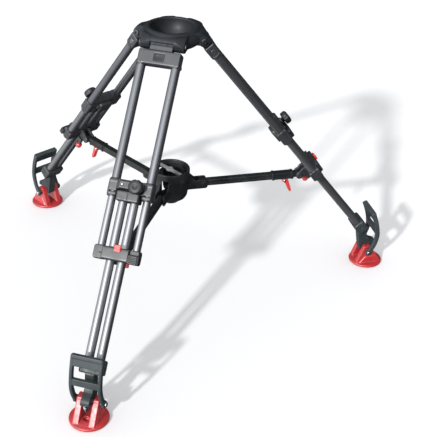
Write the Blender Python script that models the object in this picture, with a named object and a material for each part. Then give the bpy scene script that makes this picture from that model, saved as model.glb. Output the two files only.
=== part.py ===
"""Low studio tripod with a 100 mm bowl, mid-level spreader and rubber feet.

The scene is in metres, +Z up, floor at z = 0, origin in the middle of the footprint.
Front leg points to -Y, the right leg to +X/+Y and the left leg to -X/+Y.
Dimensions are written in millimetres; the shape tools turn them into metres.

Every leg piece is built once, in one of two frames, and placed three times:
  radial frame  x = distance from the tripod axis, y = tangential, z = up
  leg frame     origin on the leg's hinge axis, x = outward normal of the leg's plane,
                y = tangential, z = up along the leg
"""

import math

import bmesh
import bpy
from mathutils import Matrix, Vector

MM = 0.001                      # metres in a millimetre

# ---------------------------------------------------------------- shared dimensions
LEG_AZIMUTHS = {"front": -90.0, "right": 30.0, "left": 150.0}
LEG_SPREAD = math.radians(38.8)  # from vertical

GAP = 0.3                       # clearance between close-fitting pieces
LOOSE_GAP = 0.4                 # clearance at tube ends and around the foot pin
OVERRUN = 10.0                  # how far a cutter passes the face it opens

# leg hinge, in the radial frame
HINGE_R = 61.5
HINGE_Z = 660.2
HINGE_PIN_RADIUS = 5.0
LUG_INNER = 26.6                # tangential limits of the crown's lugs
LUG_OUTER = 50.5

# tube pairs; all three run in the leg's plane
UPPER_SPACING = 78.3            # the upper and mid pairs share their centrelines
UPPER_TUBE_R = 10.0
UPPER_TUBE_BORE = 8.95
MID_TUBE_R = 8.6
MID_TUBE_BORE = 7.4
LOWER_SPACING = 25.4
LOWER_TUBE_R = 9.5
LOWER_TUBE_BORE = 8.1

# distances down the leg from its hinge
BLOCK_TOP = 17.0
BLOCK_END = BLOCK_TOP + 32.5
MID_TUBE_START = 245.0
MIDDLE_TOP = 304.0
MIDDLE_WEB_END = 326.0
UPPER_TUBE_END = 337.0
MIDDLE_END = 342.0
YOKE_TOP = 329.0
YOKE_BORE_START = YOKE_TOP + 4.0
YOKE_END = 351.0
LOWER_TOP = 449.0
LOWER_END = 477.0
FOOT_COLLAR_TOP = 683.0
LOWER_TUBE_END = 703.0
FOOT_COLLAR_END = 715.0

# spreader arm, in the radial frame
ARM_Z = 282.0
ARM_PIVOT_R = 322.0
ARM_PIN_RADIUS = 4.0

# foot, in the radial frame
PAD_R = 531.0
FOOT_PIVOT_R = 524.0
FOOT_PIVOT_Z = 42.0
FOOT_PIN_RADIUS = 4.0
SPIKE_SEAT_Z = 50.0             # underside of the foot bracket's toe

AXIS_Y = PAD_R / 4              # puts the footprint's middle at the origin

# ---------------------------------------------------------------- materials
FINISHES = {
    "crown": dict(colour=(0.025, 0.03, 0.035), roughness=0.25, metallic=0.0),
    "casting": dict(colour=(0.13, 0.135, 0.15), roughness=0.5, metallic=0.3),
    "upper_tube": dict(colour=(0.16, 0.165, 0.175), roughness=0.35, metallic=0.8),
    "lower_tube": dict(colour=(0.30, 0.31, 0.33), roughness=0.3, metallic=0.9),
    "dark_plastic": dict(colour=(0.02, 0.022, 0.025), roughness=0.55, metallic=0.0),
    "steel": dict(colour=(0.6, 0.6, 0.62), roughness=0.3, metallic=1.0),
    "red_rubber": dict(colour=(0.6, 0.03, 0.035), roughness=0.6, metallic=0.0),
    "red_plastic": dict(colour=(0.6, 0.04, 0.04), roughness=0.35, metallic=0.0),
    "strap": dict(colour=(0.035, 0.045, 0.05), roughness=0.6, metallic=0.0),
}


def material(slot):
    """The named material, made the first time it is asked for."""
    made = bpy.data.materials.get(slot)
    if made is None:
        made = bpy.data.materials.new(slot)
        made.use_nodes = True
        inputs = made.node_tree.nodes["Principled BSDF"].inputs
        finish = FINISHES[slot]
        inputs["Base Color"].default_value = (*finish["colour"], 1.0)
        inputs["Roughness"].default_value = finish["roughness"]
        inputs["Metallic"].default_value = finish["metallic"]
    return made


# ---------------------------------------------------------------- shape tools
AXIS_TURNS = {                  # from a shape spun about Z
    "Z": Matrix.Identity(4),
    "Y": Matrix.Rotation(-math.pi / 2, 4, "X"),
    "X": Matrix.Rotation(math.pi / 2, 4, "Y"),
}


def link(obj):
    bpy.context.collection.objects.link(obj)
    return obj


def new_object(name, solid):
    bmesh.ops.recalc_face_normals(solid, faces=solid.faces[:])
    mesh = bpy.data.meshes.new(name)
    solid.to_mesh(mesh)
    solid.free()
    return link(bpy.data.objects.new(name, mesh))


def chamfer(solid, edges, size):
    bmesh.ops.bevel(solid, geom=edges, offset=size * MM, offset_type="OFFSET",
                    segments=1, profile=0.5, affect="EDGES", clamp_overlap=True)


def span(half):
    """Limits the same distance either side of zero."""
    return -half, half


def box(x, y, z, bevel=0.0):
    """A block between two limits on each axis, its edges bevelled."""
    solid = bmesh.new()
    bmesh.ops.create_cube(solid, size=1.0)
    for vert in solid.verts:
        vert.co = Vector([
            MM * (low + (unit + 0.5) * (high - low))
            for unit, (low, high) in zip(vert.co, (x, y, z))
        ])
    if bevel:
        chamfer(solid, solid.edges[:], bevel)
    return new_object("block", solid)


def prism(outline, y, bevel=0.0):
    """An outline of (x, z) points made solid between two tangential limits."""
    start, end = y
    solid = bmesh.new()
    face = solid.faces.new([
        solid.verts.new((x * MM, start * MM, z * MM)) for x, z in outline
    ])
    grown = bmesh.ops.extrude_face_region(solid, geom=[face])
    moved = [part for part in grown["geom"] if isinstance(part, bmesh.types.BMVert)]
    bmesh.ops.translate(solid, verts=moved, vec=(0, (end - start) * MM, 0))
    if bevel:
        bmesh.ops.recalc_face_normals(solid, faces=solid.faces[:])
        rims = [edge for edge in solid.edges
                if abs(edge.verts[0].co.y - edge.verts[1].co.y) < 1e-9]
        chamfer(solid, rims, bevel)
    return new_object("prism", solid)


def turned(profile, segments=24, axis="Z", centre=(0, 0, 0)):
    """A closed profile of (radius, height) points spun about an axis through centre."""
    solid = bmesh.new()
    angles = [2 * math.pi * i / segments for i in range(segments)]
    rings = []
    for radius, height in profile:
        if radius == 0:
            rings.append([solid.verts.new((0, 0, height * MM))])
        else:
            rings.append([
                solid.verts.new((radius * math.cos(angle) * MM,
                                 radius * math.sin(angle) * MM, height * MM))
                for angle in angles
            ])
    for ring, following in zip(rings, rings[1:] + rings[:1]):
        if len(ring) == 1 and len(following) == 1:
            continue
        for i in range(segments):
            j = (i + 1) % segments
            corners = [ring[i % len(ring)], ring[j % len(ring)],
                       following[j % len(following)], following[i % len(following)]]
            # a pole appears twice among the corners, so repeats are dropped
            solid.faces.new(list(dict.fromkeys(corners)))
    move = Matrix.Translation(Vector(centre) * MM) @ AXIS_TURNS[axis]
    bmesh.ops.transform(solid, matrix=move, verts=solid.verts[:])
    return new_object("turned", solid)


def rod(radius, limits, segments=16, axis="Z", centre=(0, 0, 0)):
    low, high = limits
    profile = [(0, low), (radius, low), (radius, high), (0, high)]
    return turned(profile, segments, axis, centre)


def cross_rod(radius, half, x, z):
    """A 12-sided tangential rod, for pins and their holes."""
    return rod(radius, span(half), 12, "Y", (x, 0, z))


def tube(outer, inner, low, high, y):
    profile = [(inner, low), (outer, low), (outer, high), (inner, high)]
    return turned(profile, 16, "Z", (0, y, 0))


def tube_bore(tube_radius, low, high, y):
    """Cutter for the hole a leg tube sits in."""
    return rod(tube_radius + GAP, (low, high), centre=(0, y, 0))


def combine(target, others, operation):
    """Applies Booleans one after another and drops the shapes they used."""
    for other in others:
        modifier = target.modifiers.new("shape", "BOOLEAN")
        modifier.operation = operation
        modifier.solver = "EXACT"
        modifier.object = other
    bpy.context.view_layer.update()
    depsgraph = bpy.context.evaluated_depsgraph_get()
    mesh = bpy.data.meshes.new_from_object(target.evaluated_get(depsgraph))
    target.modifiers.clear()
    target.data = mesh
    for other in others:
        bpy.data.objects.remove(other, do_unlink=True)
    return target


def union(first, *others):
    return combine(first, others, "UNION")


def cut(first, *others):
    return combine(first, others, "DIFFERENCE")


def swing(obj, azimuth):
    """Turns a shape built in the radial frame to a leg's azimuth."""
    obj.data.transform(Matrix.Rotation(math.radians(azimuth), 4, "Z"))
    return obj


def arc(centre_x, centre_z, radius, start, end, steps):
    """Points on an arc, angles in degrees."""
    angles = [math.radians(start + (end - start) * i / steps) for i in range(steps + 1)]
    return [(centre_x + radius * math.cos(angle), centre_z + radius * math.sin(angle))
            for angle in angles]


def finish_mesh(obj, slot, origin=(0, 0, 0)):
    """Moves the mesh so that its own origin lies at a joint, and takes the object away."""
    origin = Vector(origin) * MM
    mesh = obj.data
    mesh.transform(Matrix.Translation(-origin))
    mesh.materials.clear()
    mesh.materials.append(material(slot))
    mesh.shade_smooth()
    mesh.set_sharp_from_angle(angle=math.radians(35))
    bpy.data.objects.remove(obj, do_unlink=True)
    return mesh, origin


# ---------------------------------------------------------------- frames
def leg_of(radius, height):
    """A radial-frame point as leg-frame (x, z)."""
    out, up = radius - HINGE_R, height - HINGE_Z
    cosine, sine = math.cos(LEG_SPREAD), math.sin(LEG_SPREAD)
    return out * cosine + up * sine, -out * sine + up * cosine


def make_empty(name, location, rotation=(0, 0, 0), parent=None):
    empty = link(bpy.data.objects.new(name, None))
    empty.parent = parent
    empty.location = Vector(location) * MM
    empty.rotation_euler = rotation
    empty.empty_display_size = 0.03
    return empty


def make_frames(name, azimuth):
    """The radial frame and leg frame of one leg."""
    radial = make_empty(f"{name}_azimuth", (0, AXIS_Y, 0), (0, 0, math.radians(azimuth)))
    leg = make_empty(f"{name}_hinge_axis", (HINGE_R, 0, HINGE_Z), (0, -LEG_SPREAD, 0), radial)
    return radial, leg


# ---------------------------------------------------------------- crown
BOWL_RADIUS = 50.0              # 100 mm bowl
BOWL_RIM_RADIUS = 57.5
BOWL_HOLE_RADIUS = 24.0
BOWL_BOTTOM = 637.0
BOWL_STEPS = 4
RIM_HEIGHT = 683.3
CROWN_CORE_RADIUS = 20.0        # inside the bowl's hole, so the bowl cutter clears it
CROWN_SEGMENTS = 30
LUG_RADIUS = 13.4
POCKET_RADIUS = 12.0            # room for the top block's barrel
POCKET_OUTER_R = 90.0
POCKET_FLOOR = 630.0

# (radius, height), up the outside
CROWN_PROFILE = [
    (CROWN_CORE_RADIUS, BOWL_BOTTOM), (BOWL_HOLE_RADIUS + 3, BOWL_BOTTOM),
    (40, BOWL_BOTTOM + 3), (52, 647), (62, 658), (67, 669), (66, 676), (61, 681),
    (BOWL_RIM_RADIUS, RIM_HEIGHT), (CROWN_CORE_RADIUS, RIM_HEIGHT),
]
# radial-frame (x, z)
LUG_OUTLINE = (
    [(33, 679.6), (62, 679.6), (72, 676), (76, 671)]
    + arc(HINGE_R, HINGE_Z, LUG_RADIUS, 15, -135, 6)
    + [(44, 652), (33, 661)]
)
BROW_OUTLINE = [(31, 679.1), (61.6, 679.1), (71.2, 675.6), (74.6, 671), (31, 670.6)]
POCKET_OUTLINE = (
    [(POCKET_OUTER_R, HINGE_Z + POCKET_RADIUS)]
    + arc(HINGE_R, HINGE_Z, POCKET_RADIUS, 90, 180, 5)
    + [(HINGE_R - POCKET_RADIUS, POCKET_FLOOR), (POCKET_OUTER_R, POCKET_FLOOR)]
)


def bowl_cutter():
    """The spherical seat, opened through the rim and the hole in the bottom."""
    top, bottom = RIM_HEIGHT + OVERRUN, BOWL_BOTTOM - OVERRUN
    last = math.degrees(math.acos(BOWL_HOLE_RADIUS / BOWL_RADIUS))
    seat = arc(0, RIM_HEIGHT, BOWL_RADIUS, 0, -last, BOWL_STEPS)
    profile = [(0, top), (BOWL_RADIUS, top), *seat, (BOWL_HOLE_RADIUS, bottom), (0, bottom)]
    return turned(profile, CROWN_SEGMENTS)


def crown_casting():
    """Bowl with a pair of hinge lugs for each leg and a brow bridging each pair."""
    body = turned(CROWN_PROFILE, CROWN_SEGMENTS)
    shapes = []
    cutters = [bowl_cutter()]
    for azimuth in LEG_AZIMUTHS.values():
        for outline, limits in (
            (LUG_OUTLINE, (LUG_INNER, LUG_OUTER)),
            (LUG_OUTLINE, (-LUG_OUTER, -LUG_INNER)),
            (BROW_OUTLINE, span(LUG_INNER + 1)),
        ):
            shapes.append(swing(prism(outline, limits), azimuth))
        pocket = prism(POCKET_OUTLINE, span(LUG_INNER))
        hole = cross_rod(HINGE_PIN_RADIUS + GAP, LUG_OUTER + OVERRUN, HINGE_R, HINGE_Z)
        cutters += [swing(pocket, azimuth), swing(hole, azimuth)]
    return finish_mesh(cut(union(body, *shapes), *cutters), "crown")


# ---------------------------------------------------------------- spreader hub
HUB_RADIUS = 44.0
HUB_RIM_Z = 329.3
HUB_WALL_INNER = 38.5
HUB_FLOOR_Z = 256.0
HUB_BASE_Z = 250.0
HUB_HOLE_RADIUS = 5.0
EAR_HALF_WIDTH = 13.2
EAR_START_R = 41.0
EAR_END_R = 88.5
EAR_HALF_HEIGHT = 11.5

# (radius, height), up the outside and down the inside
HUB_PROFILE = [
    (30, HUB_BASE_Z), (41, 257), (43, 266), (HUB_RADIUS + 1.2, 323), (HUB_RADIUS, HUB_RIM_Z),
    (HUB_RADIUS - 3, HUB_RIM_Z), (HUB_WALL_INNER, 320), (HUB_WALL_INNER, 262),
    (34, HUB_FLOOR_Z), (HUB_HOLE_RADIUS, HUB_FLOOR_Z), (HUB_HOLE_RADIUS, HUB_BASE_Z),
]
# radial-frame (x, z), outer corners cut off
EAR_OUTLINE = [
    (EAR_START_R, ARM_Z - EAR_HALF_HEIGHT), (84, ARM_Z - EAR_HALF_HEIGHT),
    (EAR_END_R, ARM_Z - 6), (EAR_END_R, ARM_Z + 6),
    (84, ARM_Z + EAR_HALF_HEIGHT), (EAR_START_R, ARM_Z + EAR_HALF_HEIGHT),
]
# (radius, height), down the outside
SCREW_PROFILE = [(0, 249.6), (22, 249.6), (22, 244), (18, 240), (10, 238.5), (0, 238.5)]


def spreader_hub():
    """Open cup with an ear for each arm, slotted through the ear and the wall."""
    body = turned(HUB_PROFILE, 30)
    ears, slots = [], []
    for azimuth in LEG_AZIMUTHS.values():
        ears.append(swing(prism(EAR_OUTLINE, span(EAR_HALF_WIDTH)), azimuth))
        slots.append(swing(box((28, 100), span(8.7), (240, 313)), azimuth))
    return finish_mesh(cut(union(body, *ears), *slots), "dark_plastic", (0, 0, ARM_Z))


def hub_screw():
    """Round head under the hub."""
    return finish_mesh(turned(SCREW_PROFILE), "dark_plastic", (0, 0, ARM_Z))


# ---------------------------------------------------------------- top of the leg, leg frame
BLOCK_HALF_WIDTH = 48.0
BLOCK_HALF_DEPTH = 12.5
BARREL_RADIUS = 11.0
BARREL_HALF = 25.8              # fits between the crown's lugs
NECK_HALF_DEPTH = 9.5
TUBE_SEAT = 21.0                # how far the upper tubes enter the block
RECESS_DEPTH = 1.2


def hinge_pin():
    """Tangential pin with a low head at both ends."""
    head = LUG_OUTER + GAP
    # (radius, height) of one end, outward along the pin
    end = [(HINGE_PIN_RADIUS, head), (8, head), (8, head + 2), (6.5, head + 3), (0, head + 3)]
    other_end = [(radius, -height) for radius, height in reversed(end)]
    return finish_mesh(turned(other_end + end, 12, "Y"), "steel")


def top_block():
    """Hinge barrel on a neck, above a block that holds both upper tubes."""
    body = box(span(BLOCK_HALF_DEPTH), span(BLOCK_HALF_WIDTH), (-BLOCK_END, -BLOCK_TOP), 2.5)
    barrel = rod(BARREL_RADIUS, span(BARREL_HALF), axis="Y")
    neck = box(span(NECK_HALF_DEPTH), span(BARREL_HALF), (-BLOCK_TOP - 4, 0))
    body = union(body, barrel, neck)
    cutters = [cross_rod(HINGE_PIN_RADIUS + GAP, BARREL_HALF + OVERRUN, 0, 0)]
    for side in (-1, 1):
        cutters.append(tube_bore(UPPER_TUBE_R, -BLOCK_END - OVERRUN, -BLOCK_END + TUBE_SEAT + 1,
                                 side * UPPER_SPACING / 2))
    # shallow recess in the outward face
    cutters.append(box((BLOCK_HALF_DEPTH - RECESS_DEPTH, BLOCK_HALF_DEPTH + OVERRUN),
                       (-11, 12), (-BLOCK_END + 9, -BLOCK_END + 25)))
    return finish_mesh(cut(body, *cutters), "casting")


def upper_tube(side):
    body = tube(UPPER_TUBE_R, UPPER_TUBE_BORE, -UPPER_TUBE_END, -BLOCK_END + TUBE_SEAT,
                side * UPPER_SPACING / 2)
    return finish_mesh(body, "upper_tube")


# ---------------------------------------------------------------- middle of the leg, leg frame
BRACKET_HALF_WIDTH = 50.0
BRACKET_INWARD = 13.5           # depth of the middle and lower brackets' inward side
COLLAR_INNER = 27.3
KNOB_CENTRE = (0, 17.0, -319.0)

# (radius, height), outward along the leg-frame x axis
KNOB_PROFILE = [
    (0, 18.3), (6.5, 18.3), (6.5, 21.5), (15, 21.5),
    (17, 24), (16.5, 33), (13, 36.5), (0, 37),
]


def middle_bracket():
    """Web between two collars around the ends of the upper tubes."""
    web = box(span(11), span(30), (-MIDDLE_WEB_END, -MIDDLE_TOP), 2)
    collars = [
        box(span(BRACKET_INWARD), limits, (-MIDDLE_END, -MIDDLE_TOP), 3)
        for limits in ((-BRACKET_HALF_WIDTH, -COLLAR_INNER), (COLLAR_INNER, BRACKET_HALF_WIDTH))
    ]
    rib = box((-20, -9), span(17), (-MIDDLE_WEB_END, -MIDDLE_TOP - 4), 3)
    # a thin lip runs down the inward side of the yoke and stays clear of it
    lip = box((-19.5, -12.6), span(16), (-MIDDLE_END - 2, -MIDDLE_TOP - 6), 2)
    knob_boss = rod(9, (5, 18), 12, "X", KNOB_CENTRE)
    body = union(web, *collars, rib, lip, knob_boss)
    bores = [
        tube_bore(UPPER_TUBE_R, -MIDDLE_END - OVERRUN, -MIDDLE_TOP + OVERRUN,
                  side * UPPER_SPACING / 2)
        for side in (-1, 1)
    ]
    return finish_mesh(cut(body, *bores), "casting")


def clamp_knob():
    """Round knob on the middle bracket's outward side."""
    return finish_mesh(turned(KNOB_PROFILE, 16, "X", KNOB_CENTRE), "dark_plastic", KNOB_CENTRE)


def mid_tube(side):
    body = tube(MID_TUBE_R, MID_TUBE_BORE, -LOWER_END + 1, -MID_TUBE_START,
                side * UPPER_SPACING / 2)
    return finish_mesh(body, "lower_tube")


# ---------------------------------------------------------------- lower leg, leg frame
LOWER_FRONT = 21.1              # outward face of the lower bracket
CHEEK_INNER = 7.2               # tangential limits of the arm's cheeks
CHEEK_OUTER = 13.0
FOOT_PIN_HALF = 37.5

# radial-frame (radius, height) outline of the tongue down to the foot pin
TONGUE_OUTLINE = [
    (500, 112), (519, 113), (523, 101), (524, 84), (533, 71),
    (548, 64), (553, 57), (552, SPIKE_SEAT_Z), (540, SPIKE_SEAT_Z), (533, 36),
    (524, 33), (514, 35), (507, 44), (499, 88), (497, 102),
]


def lower_bracket():
    """Block around four tubes, with inward cheeks and a pin for the spreader arm."""
    body = box((-BRACKET_INWARD, LOWER_FRONT), span(BRACKET_HALF_WIDTH),
               (-LOWER_END, -LOWER_TOP), 3)
    pivot_x, pivot_z = leg_of(ARM_PIVOT_R, ARM_Z)
    cheek = (
        [(-10, -LOWER_TOP + 2), (-20.5, -LOWER_TOP + 2), (-27, -LOWER_TOP - 0.5)]
        + arc(pivot_x, pivot_z, 9.5, 80, 290, 9)
        + [(-10, -LOWER_END + 1)]
    )
    body = union(
        body,
        prism(cheek, (CHEEK_INNER, CHEEK_OUTER)),
        prism(cheek, (-CHEEK_OUTER, -CHEEK_INNER)),
        cross_rod(ARM_PIN_RADIUS, 11, pivot_x, pivot_z),
        # a bridge joins the cheeks at the bottom
        box((-24, -10), span(CHEEK_OUTER), (-LOWER_END - 6, -LOWER_END + 10), 2),
    )
    bores = [
        tube_bore(radius, -LOWER_END - OVERRUN, -LOWER_TOP + OVERRUN, side * spacing / 2)
        for side in (-1, 1)
        for radius, spacing in ((MID_TUBE_R, UPPER_SPACING), (LOWER_TUBE_R, LOWER_SPACING))
    ]
    return finish_mesh(cut(body, *bores), "casting")


def release_button():
    """Red button on the lower bracket's outward face."""
    back = LOWER_FRONT + GAP
    body = box((back, back + 6), (-3, 13), (-LOWER_TOP - 7, -LOWER_TOP + 10), 1.5)
    return finish_mesh(body, "red_plastic", (back, 5, -LOWER_TOP))


def lower_yoke():
    """Cap over the top ends of the lower tubes."""
    body = box((-12, 20.5), span(25), (-YOKE_END, -YOKE_TOP), 2.5)
    bores = [
        tube_bore(LOWER_TUBE_R, -YOKE_END - OVERRUN, -YOKE_BORE_START, side * LOWER_SPACING / 2)
        for side in (-1, 1)
    ]
    return finish_mesh(cut(body, *bores), "casting", (0, 0, -YOKE_TOP))


def lower_tube(side):
    body = tube(LOWER_TUBE_R, LOWER_TUBE_BORE, -LOWER_TUBE_END, -YOKE_BORE_START - LOOSE_GAP,
                side * LOWER_SPACING / 2)
    return finish_mesh(body, "lower_tube", (0, 0, -YOKE_TOP))


def foot_bracket():
    """Collar around the lower tubes' ends, with a tongue and the foot's pin."""
    collar = box(span(15), span(26), (-FOOT_COLLAR_END, -FOOT_COLLAR_TOP), 2.5)
    tongue = prism([leg_of(*point) for point in TONGUE_OUTLINE], span(10))
    pivot_x, pivot_z = leg_of(FOOT_PIVOT_R, FOOT_PIVOT_Z)
    pin = cross_rod(FOOT_PIN_RADIUS, FOOT_PIN_HALF, pivot_x, pivot_z)
    body = union(collar, tongue, pin)
    bores = [
        tube_bore(LOWER_TUBE_R, -LOWER_TUBE_END - LOOSE_GAP, -FOOT_COLLAR_TOP + OVERRUN,
                  side * LOWER_SPACING / 2)
        for side in (-1, 1)
    ]
    return finish_mesh(cut(body, *bores), "dark_plastic", (pivot_x, 0, pivot_z))


# ---------------------------------------------------------------- foot, radial frame
FOOT_PIVOT = (FOOT_PIVOT_R, 0, FOOT_PIVOT_Z)
SPIKE_R = 546.0
SPIKE_RADIUS = 5.4
PAD_RADIUS = 43.0
FIN_INNER = 11.0                # tangential limits of the pad's fins
FIN_OUTER = 25.0
STRAP_HALF = 35.5
STRAP_INNER = 28.2
STRAP_THICKNESS = 12.0
STRAP_EYE_RADIUS = 8.5

# (radius, height), up from the tip
SPIKE_PROFILE = [
    (0, 28.5), (0.8, 28.5), (4.6, 40), (SPIKE_RADIUS, 42),
    (SPIKE_RADIUS, SPIKE_SEAT_Z - GAP), (0, SPIKE_SEAT_Z - GAP),
]
# (radius, height), from the floor up to the middle of the top
PAD_PROFILE = [
    (0, 0), (40.5, 0), (PAD_RADIUS, 2), (PAD_RADIUS, 5.5), (40, 8.5), (22, 11), (0, 12.5),
]
# radial-frame (x, z)
FIN_OUTLINE = [
    (499, 6), (499, 12), (513, 50), (518, 56), (531, 56), (536, 50), (561, 12), (563, 6),
]
# radial-frame (x, z) along the strap's centreline, up from the foot pin
STRAP_SPINE = [
    (FOOT_PIVOT_R, FOOT_PIVOT_Z), (534, 59), (540, 76), (542.5, 93),
    (540.5, 110.5), (535, 133.5), (524.5, 161),
]
# heights of the openings that leave two side straps and two cross bands
STRAP_OPENINGS = [(20, 95), (112, 137)]


def foot_pin_hole(half_width):
    return cross_rod(FOOT_PIN_RADIUS + LOOSE_GAP, half_width + OVERRUN,
                     FOOT_PIVOT_R, FOOT_PIVOT_Z)


def foot_spike():
    body = turned(SPIKE_PROFILE, 16, centre=(SPIKE_R, 0, 0))
    return finish_mesh(body, "steel", FOOT_PIVOT)


def foot_pad():
    """Low disc with two fins that hang on the foot pin."""
    disc = turned(PAD_PROFILE, 28, centre=(PAD_R, 0, 0))
    body = union(disc, prism(FIN_OUTLINE, (FIN_INNER, FIN_OUTER)),
                 prism(FIN_OUTLINE, (-FIN_OUTER, -FIN_INNER)))
    return finish_mesh(cut(body, foot_pin_hole(FIN_OUTER)), "red_rubber", FOOT_PIVOT)


def foot_strap():
    """Curved strap up from the foot pin, opened in the middle."""
    half = STRAP_THICKNESS / 2
    outer, inner = [], []
    last = len(STRAP_SPINE) - 1
    for i, (x, z) in enumerate(STRAP_SPINE):
        before_x, before_z = STRAP_SPINE[max(i - 1, 0)]
        after_x, after_z = STRAP_SPINE[min(i + 1, last)]
        run, rise = after_x - before_x, after_z - before_z
        length = math.hypot(run, rise)
        shift_x, shift_z = half * rise / length, -half * run / length
        outer.append((x + shift_x, z + shift_z))
        inner.append((x - shift_x, z - shift_z))
    # the eye takes the place of the first station
    eye = arc(FOOT_PIVOT_R, FOOT_PIVOT_Z, STRAP_EYE_RADIUS, 160, 385, 7)
    body = prism(outer[1:] + inner[:0:-1] + eye, span(STRAP_HALF))
    openings = [box((480, 580), span(STRAP_INNER), heights) for heights in STRAP_OPENINGS]
    return finish_mesh(cut(body, *openings, foot_pin_hole(STRAP_HALF)), "strap", FOOT_PIVOT)


# ---------------------------------------------------------------- spreader arm, radial frame
ARM_INNER_R = 68.5
ARM_HALF = 8.0
SLEEVE_HALF = 9.2
SLEEVE_START_R = 254.0
SLEEVE_END_R = 307.0
ARM_OVERLAP = 3.0               # how far the bar and the end piece enter the sleeve
ARM_END_HALF_WIDTH = 6.6
LEVER_R = 287.0
LEVER_Z = 266.5

# radial-frame (x, z), down the outer side and back up the inner side
LEVER_OUTLINE = [
    (294, 272.3), (297, 264), (304.5, 241), (305, 236),
    (301.5, 235), (298, 239), (289, 258), (281.8, 263.5),
]


def spreader_arm():
    """Square bar and sleeve with an eye on the lower bracket's pin."""
    bar = box((ARM_INNER_R, SLEEVE_START_R + ARM_OVERLAP), span(ARM_HALF),
              (ARM_Z - ARM_HALF, ARM_Z + ARM_HALF), 1)
    sleeve = box((SLEEVE_START_R, SLEEVE_END_R), span(SLEEVE_HALF),
                 (ARM_Z - SLEEVE_HALF, ARM_Z + SLEEVE_HALF), 1.5)
    end = box((SLEEVE_END_R - ARM_OVERLAP, ARM_PIVOT_R), span(ARM_END_HALF_WIDTH),
              (ARM_Z - 7, ARM_Z + 7))
    eye = rod(7.5, span(ARM_END_HALF_WIDTH), axis="Y", centre=(ARM_PIVOT_R, 0, ARM_Z))
    hole = cross_rod(ARM_PIN_RADIUS + GAP, ARM_END_HALF_WIDTH + OVERRUN, ARM_PIVOT_R, ARM_Z)
    body = cut(union(bar, sleeve, end, eye), hole)
    return finish_mesh(body, "dark_plastic", (ARM_PIVOT_R, 0, ARM_Z))


def lock_lever():
    """Lever under the sleeve, with a rounded cam nose that stays clear of it."""
    nose = arc(LEVER_R, LEVER_Z, 5.8, 180, 90, 4)
    body = prism(LEVER_OUTLINE + nose, span(5), 0.8)
    return finish_mesh(body, "red_plastic", (LEVER_R, 0, LEVER_Z))


# ---------------------------------------------------------------- assembly
def place(name, made, parent):
    mesh, origin = made
    mesh.name = name
    obj = link(bpy.data.objects.new(name, mesh))
    obj.parent = parent
    obj.location = origin


def build():
    for obj in list(bpy.data.objects):
        bpy.data.objects.remove(obj, do_unlink=True)

    centre = make_empty("tripod_axis", (0, AXIS_Y, 0))
    for make in (crown_casting, spreader_hub, hub_screw):
        place(make.__name__, make(), centre)

    in_radial_frame = {
        make.__name__: make()
        for make in (foot_spike, foot_pad, foot_strap, spreader_arm, lock_lever)
    }
    in_leg_frame = {
        make.__name__: make()
        for make in (hinge_pin, top_block, middle_bracket, clamp_knob,
                     lower_bracket, release_button, lower_yoke, foot_bracket)
    }
    for make in (upper_tube, mid_tube, lower_tube):
        for letter, side in (("a", -1), ("b", 1)):
            in_leg_frame[f"{make.__name__}_{letter}"] = make(side)

    for name, azimuth in LEG_AZIMUTHS.items():
        radial, leg = make_frames(name, azimuth)
        for parent, pieces in ((leg, in_leg_frame), (radial, in_radial_frame)):
            for piece, made in pieces.items():
                place(f"{name}_{piece}", made, parent)
    bpy.context.view_layer.update()


build()
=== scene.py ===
"""A video tripod: a crown with a bowl on three hinged legs, each made of twin tubes in three
stages, with a spreader between them and a red foot pad under each.

The tripod stands on z = 0 with its front leg towards -y. Shapes are modelled in millimetres in
one of two local frames, and placed in metres:
  radial frame: x = distance from the tripod's axis, y = sideways, z = up
  leg frame:    origin on the leg's hinge, x = outward normal, y = sideways, z = up the leg
"""
import math

import bmesh
import bpy
from mathutils import Matrix, Vector


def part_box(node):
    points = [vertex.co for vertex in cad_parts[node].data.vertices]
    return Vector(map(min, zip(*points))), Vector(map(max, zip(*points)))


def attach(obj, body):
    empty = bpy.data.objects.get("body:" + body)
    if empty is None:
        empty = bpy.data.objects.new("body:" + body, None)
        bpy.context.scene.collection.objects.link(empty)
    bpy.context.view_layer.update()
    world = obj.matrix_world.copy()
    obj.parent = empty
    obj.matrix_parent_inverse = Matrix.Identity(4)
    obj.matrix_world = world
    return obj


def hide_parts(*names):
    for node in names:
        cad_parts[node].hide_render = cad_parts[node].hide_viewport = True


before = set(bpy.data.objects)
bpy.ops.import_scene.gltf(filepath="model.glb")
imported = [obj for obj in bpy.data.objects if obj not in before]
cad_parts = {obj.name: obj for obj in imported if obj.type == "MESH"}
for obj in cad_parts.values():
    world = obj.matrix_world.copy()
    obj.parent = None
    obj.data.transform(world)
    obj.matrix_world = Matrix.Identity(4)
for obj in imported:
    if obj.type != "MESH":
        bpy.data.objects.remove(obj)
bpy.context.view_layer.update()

# ------------------------------------------------------------------ driving dimensions
LEGS = {"front": -90.0, "right": 30.0, "left": 150.0}  # azimuths, degrees
SPREAD = 38.8  # lean of each leg from upright, degrees

# radial frame
HINGE_R, HINGE_Z = 61.5, 660.2
HINGE = (HINGE_R, 0, HINGE_Z)
RIM_Z = 683.3
BOWL_R, THROAT_R = 50, 24
PAD_R = 531
SPIKE_R = 546
AXLE_R, AXLE_Z = 524, 42
STRUT_R, STRUT_Z = 322, 282
LEVER_PIN = (287, 0, 266.5)
LOCK_R, LOCK_Z = 346, 259

# leg frame
WIDE_Y = 39.15  # half the spacing of the outer and slide tubes
NARROW_Y = 12.7  # half the spacing of the foot tubes
KNOB_Y, KNOB_Z = 17, -319
SCREW = (0, -19, -315.5)
EAR_Y = 26.6  # inner face of the crown's ears

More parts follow.
